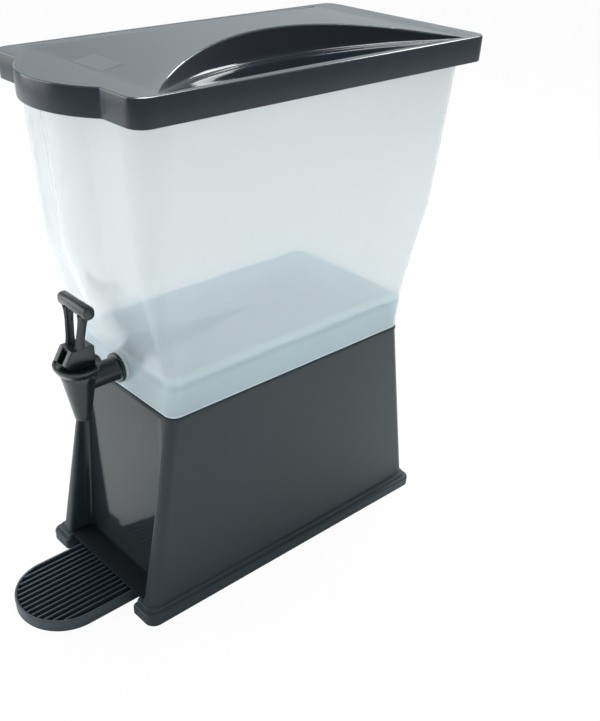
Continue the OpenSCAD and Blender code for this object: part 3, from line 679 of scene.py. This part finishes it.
# The foot's two cheeks: flat at the back and on top, with the cam's curve below and in front.
cam = []
for k in range(CAM_STEPS + 1):
    a = math.radians(TILT * k / CAM_STEPS)
    h = CAM_REACH + CAM_RISE * a
    cam.append((-h * math.sin(a) - CAM_RISE * math.cos(a), -h * math.cos(a) + CAM_RISE * math.sin(a)))
cheek = [(15.0, 8.4), (15.0, -11.0), (14.2, -11.9)] + cam + [(-10.6, 8.4), (-10.0, 9.2), (14.2, 9.2)]
for x0, x1 in ((-FORK_OUTSIDE, -FORK_INSIDE), (FORK_INSIDE, FORK_OUTSIDE)):
    cheek_rows = ((x0, 0.955), (x0 + 0.4, 0.985), (x0 + 1.0, 1.0),
                  (x1 - 1.0, 1.0), (x1 - 0.4, 0.985), (x1, 0.955))
    rings = [[(x, PIN_Y + y * f, PIN_Z + z * f) for y, z in cheek] for x, f in cheek_rows]
    parts.append(skin(rings, first=True, last=True))
bridge_plan = ((-5.6, -9.8), (5.6, -9.8), (5.6, 14.0), (-5.6, 14.0))
bridge = [(x, PIN_Y + y, PIN_Z + z) for z in (BRIDGE_UNDER, BRIDGE_TOP) for x, y in bridge_plan]
parts.append((bridge, [(3, 2, 1, 0), (4, 5, 6, 7), (0, 1, 5, 4), (1, 2, 6, 5), (2, 3, 7, 6), (3, 0, 4, 7)]))
points, faces = joined(*parts)
build("tap_handle", points, faces, [tap_black], "handle", ["tap_handle"])

# Small fittings: the black stem and nut, the silicone cup and washers and the steel pin that hold
# the tap together. They keep their turned shapes and only get their materials here.
milky_soft = plastic("milky_soft", (0.62, 0.66, 0.66), 0.5, spread=0.06)
pin_steel = plastic("pin_steel", (0.55, 0.55, 0.57), 0.3, spread=0.08)
pin_steel.node_tree.nodes["Principled BSDF"].inputs["Metallic"].default_value = 1.0
for node, material in (("valve_stem", tap_black), ("seat_cup", milky_soft), ("handle_pin", pin_steel),
                       ("outer_washer", milky_soft), ("inner_washer", milky_soft), ("shank_nut", tap_black)):
    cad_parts[node].data.materials.clear()
    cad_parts[node].data.materials.append(material)

# Lid: a slate moulding that lies over the reservoir's mouth, with a straight skirt and a bowed lobe in
# front. Along its middle an arched grip with a waist and steep sides stands in two polished finger
# hollows; the rest of the top is grained.
lid_satin = plastic("lid_satin", (0.014, 0.021, 0.030), 0.25, grain=0.04, scale=1200, sheen=0.38)
lid_grain = plastic("lid_grain", (0.025, 0.034, 0.040), 0.46, grain=0.5, scale=700, sheen=0.65)
lid_gloss = plastic("lid_gloss", (0.004, 0.006, 0.010), 0.07, spread=0.1, sheen=0.25)
lid_edge = plastic("lid_edge", (0.020, 0.027, 0.033), 0.14, spread=0.1, sheen=0.8)
SATIN, GRAIN, GLOSS, EDGE = range(4)
LID_HALF, LID_NOSE, LID_BACK, LID_FOOT, GRIP_TOP = box_of("lid")
LID_RIM = 545.0
LID_UNDER = 540.9
LID_SKIRT = 3.0
LID_WALL = 2.9
LID_FRONT = 17.5
FRONT_CORNER = 15.5
BACK_CORNER = 13.5
EDGE_INSET = 1.6
LOBE_DEPTH = LID_FRONT - LID_NOSE
LOBE_HALF = 63.0
LOBE_RADIUS = (LOBE_HALF ** 2 + LOBE_DEPTH ** 2) / (2 * LOBE_DEPTH)
LOBE_SOFT = 0.9
LOBE_X = [60 * k / 16 for k in range(16)] + [60 + 14 * k / 10 for k in range(11)]  # closer at its end
TIP_LOW, TIP_HIGH = 42.5, 404.5
GRIP_STEPS = 48
GRIP_RISE = GRIP_TOP - LID_RIM
GRIP_EASE = 0.08
CREST_TIP = 104.6
CREST_WAIST = 28.0
CREST_CURVE = 0.92
CREST_ROUND = ((-1.9, 0.0), (-1.0, -0.14), (-0.35, -0.6), (0.0, -1.5))  # x and z
SIDE_RUN_TIP = 0.6
SIDE_RUN_GROWS = 12.4
HOLLOW_DEPTH = 3.3
HOLLOW_LEVEL_X = 88.0
HOLLOW_FALL = 0.0894  # of its floor towards the grip
HOLLOW_RISE = 0.147  # of its floor towards the rim
HOLLOW_BEND = 5.5
HOLLOW_LIP = 106.6
LIP_WIDTH = 1.2

half_turns = [math.pi * k / GRIP_STEPS for k in range(GRIP_STEPS + 1)]
lid_rows = [TIP_LOW + (TIP_HIGH - TIP_LOW) * (0.5 - 0.5 * math.cos(t)) for t in half_turns]


def lid_half(inset):
    """Right half of the lid's outline from the lobe's nose to the back, with a point for each row."""
    front = LID_FRONT + inset
    back = LID_BACK - inset
    a = []
    for x in LOBE_X:
        depth = LOBE_DEPTH - LOBE_RADIUS + math.sqrt(LOBE_RADIUS ** 2 - x ** 2)
        a.append((x, front - LOBE_SOFT * math.log(1 + math.exp(depth / LOBE_SOFT))))
    a += line((LOBE_X[-1], front), (LID_HALF - FRONT_CORNER, front), 3)
    a += arc(LID_HALF - FRONT_CORNER, LID_FRONT + FRONT_CORNER, FRONT_CORNER - inset, -90, 0, 10)
    a += [(LID_HALF - inset, y) for y in lid_rows]
    a += arc(LID_HALF - BACK_CORNER, LID_BACK - BACK_CORNER, BACK_CORNER - inset, 0, 90, 10)
    a += line((LID_HALF - BACK_CORNER, back), (0, back), 6) + [(0.0, back)]
    return a


def share(y):
    """How far a place is from the grip's tips: 0 at each tip and 1 in the middle."""
    return max(0.0, 1 - ((y - (TIP_LOW + TIP_HIGH) / 2) / ((TIP_HIGH - TIP_LOW) / 2)) ** 2)


def arch(y):
    """Height of the grip over the rim, eased at its two tips."""
    q = share(y)
    return GRIP_RISE * (1 + GRIP_EASE) * q * q / (q + GRIP_EASE)


def across(y):
    """Right half of the lid's top across one place: (x, z, finish of the strip that ends there)."""
    q = share(y)
    soft_by = min(1.0, q * 4)
    deep = min(1.0, (q / 0.06) ** 0.6)
    crest = CREST_TIP - (CREST_TIP - CREST_WAIST) * q ** CREST_CURVE
    foot = crest + SIDE_RUN_TIP + SIDE_RUN_GROWS * q
    peak = LID_RIM + arch(y)
    wall_top = peak + CREST_ROUND[-1][1] * soft_by

    def floor(x):
        fall = HOLLOW_FALL * max(0.0, HOLLOW_LEVEL_X - x)
        return LID_RIM - deep * (HOLLOW_DEPTH + fall - HOLLOW_RISE * max(0.0, x - HOLLOW_LEVEL_X))

    a = [(crest * k / 6, peak, GRAIN) for k in range(6)]
    for (dx, dz), finish in zip(CREST_ROUND, (GRAIN, EDGE, EDGE, EDGE)):
        a.append((crest + dx * soft_by, peak + dz * soft_by, finish))
    low = floor(foot)
    drop = wall_top - low
    run = foot - crest
    slant = math.hypot(drop, run)
    bend = min(HOLLOW_BEND, slant * 0.4, (HOLLOW_LIP - 1.3 - foot) * 0.8) if q > 0 else LEAST_BEND
    start = (foot - run * bend / slant, low + drop * bend / slant)
    end = (foot + bend, floor(foot + bend))
    for k in range(1, 5):
        a.append((crest + (start[0] - crest) * k / 4, wall_top + (start[1] - wall_top) * k / 4, GLOSS))
    for k in range(1, 9):
        u = k / 8
        a.append(((1 - u) ** 2 * start[0] + 2 * u * (1 - u) * foot + u * u * end[0],
                  (1 - u) ** 2 * start[1] + 2 * u * (1 - u) * low + u * u * end[1], GLOSS))
    for k in range(1, 5):
        x = end[0] + (HOLLOW_LIP - LIP_WIDTH - end[0]) * k / 5
        a.append((x, floor(x), GLOSS))
    depth = LID_RIM - floor(HOLLOW_LIP)
    lip_rows = ((-LIP_WIDTH, 0.97, GRAIN), (-0.7, 0.7, GRAIN), (-0.1, 0.3, EDGE), (0.6, 0.06, EDGE))
    for off, part, finish in lip_rows:
        a.append((HOLLOW_LIP + off, LID_RIM - depth * part, finish))
    return a + [(LID_HALF - EDGE_INSET, LID_RIM, GRAIN)]


# Rows of (inset, height) down the skirt's inside, round its lower edge and up to the top's edge.
lid_edge_rows = [(LID_SKIRT, LID_UNDER), (LID_SKIRT, 524.0), (2.7, 522.2), (2.2, LID_FOOT), (0.6, LID_FOOT)]
lid_edge_rows += [(0.15, 522.3), (0.0, 523.0), (0.0, 543.0), (0.15, 543.9)]
lid_edge_rows += [(0.5, 544.6), (1.1, 544.95), (EDGE_INSET, LID_RIM)]
TOP_EDGE_STRIPS = 3
rings = [at(mirrored(lid_half(inset)), z) for inset, z in lid_edge_rows]
points, faces = skin(rings)
columns = len(rings[0])
satin_faces = columns * (len(rings) - 1 - TOP_EDGE_STRIPS)
picks = [SATIN if k < satin_faces else EDGE for k in range(len(faces))]
first_side = lid_half(0.0).index((LID_HALF, lid_rows[0]))


def close_ring(start, grid, kinds, cap):
    """Close the ring whose points begin at start with a grid of strips and a flat cap at each end."""
    first, m = len(points), len(grid[0])
    for strip in grid:
        points.extend(strip)
    faces.extend(sheet(len(grid), m, first))
    picks.extend(kinds * GRIP_STEPS)
    front = [start + (columns - i) % columns for i in range(first_side, 0, -1)]
    front += [start + i for i in range(first_side + 1)]
    faces.append(tuple(front + [first + m - 1 - k for k in range(1, m - 1)]))
    last_side = first_side + GRIP_STEPS
    back = [start + i for i in range(last_side, columns - last_side + 1)]
    faces.append(tuple(back + [first + GRIP_STEPS * m + k for k in range(1, m - 1)]))
    picks.extend([cap, cap])


def whole(half):
    """A strip across the lid from its right half."""
    return [(-x, y, z) for x, y, z in half[:0:-1]] + half


kinds = [finish for x, z, finish in across(200.0)][1:]
kinds = kinds[::-1] + kinds
upper, under = [], []
for j, y in enumerate(lid_rows):
    strip = across(y)
    upper.append(whole([(x, y, z) for x, z, _ in strip]))
    at_tip = j in (0, GRIP_STEPS)
    inner = [(min(x, LID_HALF - LID_SKIRT), y, LID_UNDER if at_tip else z - LID_WALL)
             for x, z, _ in strip[:-1]]
    under.append(whole(inner + [(LID_HALF - LID_SKIRT, y, LID_UNDER)]))
close_ring(columns * (len(rings) - 1), upper, kinds, GRAIN)
close_ring(0, under, [SATIN] * len(kinds), SATIN)
finishes = [lid_satin, lid_grain, lid_gloss, lid_edge]
build("lid", points, faces, finishes, "cover", ["lid"], picks, smooth=30)

# Bare field near the front of the lid: a smooth rectangle in the grained top, polished in the mould.
# It follows the grip's arch and lies a hair above the grain.
lid_field = plastic("lid_field", (0.034, 0.040, 0.046), 0.36, spread=0.05, sheen=0.7)
FIELD_X = (-22.0, -11.0, 0.0, 11.0, 22.0)
FIELD_FRONT = 46.0
FIELD_LENGTH = 22.0
FIELD_ROWS = 9
FIELD_LIFT = 0.12
points = []
for k in range(FIELD_ROWS):
    y = FIELD_FRONT + FIELD_LENGTH * k / (FIELD_ROWS - 1)
    points += [(x, y, LID_RIM + arch(y) + FIELD_LIFT) for x in FIELD_X]
build("lid_field", points, sheet(FIELD_ROWS, len(FIELD_X)), [lid_field], "cover")

# Stage: a white table that runs out into a white backdrop. To the camera both are nearly pure white,
# while the table still takes the object's soft shadow.
TABLE_REACH = 6.0
WHITE_SHARE = 0.95
corners = [(x * TABLE_REACH, y * TABLE_REACH, 0) for x, y in ((-1, -1), (1, -1), (1, 1), (-1, 1))]
floor_mesh = bpy.data.meshes.new("table")
floor_mesh.from_pydata(corners, [], [(0, 1, 2, 3)])
table_top = bpy.data.objects.new("table", floor_mesh)
bpy.context.collection.objects.link(table_top)
pale = plastic("pale_table", (0.92, 0.92, 0.92), 0.7, spread=0.005, sheen=0.1)
floor_mesh.materials.append(pale)
tree = pale.node_tree
glare = add_node(tree, "ShaderNodeEmission", Strength=1.0)
by_camera = add_node(tree, "ShaderNodeLightPath").outputs["Is Camera Ray"]
white_share = sum_of(tree, "MULTIPLY", by_camera, WHITE_SHARE)
lit = tree.nodes["Principled BSDF"].outputs[0]
seen = add_node(tree, "ShaderNodeMixShader", white_share, lit, glare.outputs[0])
tree.links.new(seen.outputs[0], tree.nodes["Material Output"].inputs["Surface"])

# Studio: soft light from all round, brighter from the back left. The camera sees it as plain white,
# so the table runs out into it.
BRIGHT_SIDE = (-0.72, 0.66, 0.2)
world = bpy.data.worlds.new("studio")
bpy.context.scene.world = world
world.use_nodes = True
tree = world.node_tree
tree.nodes.clear()
place = add_node(tree, "ShaderNodeTexCoord").outputs["Generated"]
towards = add_node(tree, "ShaderNodeVectorMath", place, BRIGHT_SIDE)
towards.operation = "DOT_PRODUCT"
strength = scaled(tree, towards.outputs["Value"], 0.82, 0.95, 0.53, 1.04)
light = add_node(tree, "ShaderNodeBackground", Color=(0.91, 0.975, 1.0, 1), Strength=strength)
white = add_node(tree, "ShaderNodeBackground", Color=(1, 1, 1, 1), Strength=1.0)
by_camera = add_node(tree, "ShaderNodeLightPath").outputs["Is Camera Ray"]
sky = add_node(tree, "ShaderNodeMixShader", by_camera, light.outputs[0], white.outputs[0])
add_node(tree, "ShaderNodeOutputWorld", Surface=sky.outputs[0])


# Lamps: a soft light from above, a large softbox to the left of the front and a small one behind.
# Places, aims and sizes are in metres, powers in watts.
def lamp(name, place, aim, size, power):
    data = bpy.data.lights.new(name, "AREA")
    data.shape = "RECTANGLE"
    data.size, data.size_y = size
    data.energy = power
    obj = bpy.data.objects.new(name, data)
    bpy.context.collection.objects.link(obj)
    obj.location = place
    obj.rotation_euler = (Vector(aim) - Vector(place)).to_track_quat("-Z", "Y").to_euler()


lamp("overhead", (-0.2, 0.4, 1.9), (0, 0, 0.3), (0.9, 0.9), 44)
lamp("left_softbox", (-1.45, -1.4, 1.0), (0, 0, 0.35), (1.8, 1.8), 24)
lamp("back_softbox", (-0.45, 1.85, 1.84), (0, 0, 0.5), (0.7, 0.36), 10)

# Camera: where the photo was taken from, in metres and degrees of the frame. Its shift only frames
# the object as the photo does.
CAMERA_PLACE = (0.6851, -0.5321, 0.7135)
AZIMUTH = math.radians(48.05)
ELEVATION = math.radians(37.72)
ROLL = math.radians(1.48)
cam_data = bpy.data.cameras.new("camera")
cam_data.lens = 44.19
cam_data.sensor_width = 36.0
cam_data.shift_x = 0.0536
cam_data.shift_y = 0.1868
cam_data.clip_start = 0.01
cam_obj = bpy.data.objects.new("camera", cam_data)
bpy.context.collection.objects.link(cam_obj)
back = Vector((math.sin(AZIMUTH) * math.cos(ELEVATION), -math.cos(AZIMUTH) * math.cos(ELEVATION),
               math.sin(ELEVATION)))
level_right = (-back).cross(Vector((0, 0, 1))).normalized()
level_up = level_right.cross(-back)
right = math.cos(ROLL) * level_right + math.sin(ROLL) * level_up
up = -math.sin(ROLL) * level_right + math.cos(ROLL) * level_up
turn = Matrix((right, up, back)).transposed().to_4x4()
cam_obj.matrix_world = Matrix.Translation(CAMERA_PLACE) @ turn
bpy.context.scene.camera = cam_obj
bpy.context.scene.view_settings.view_transform = "Standard"
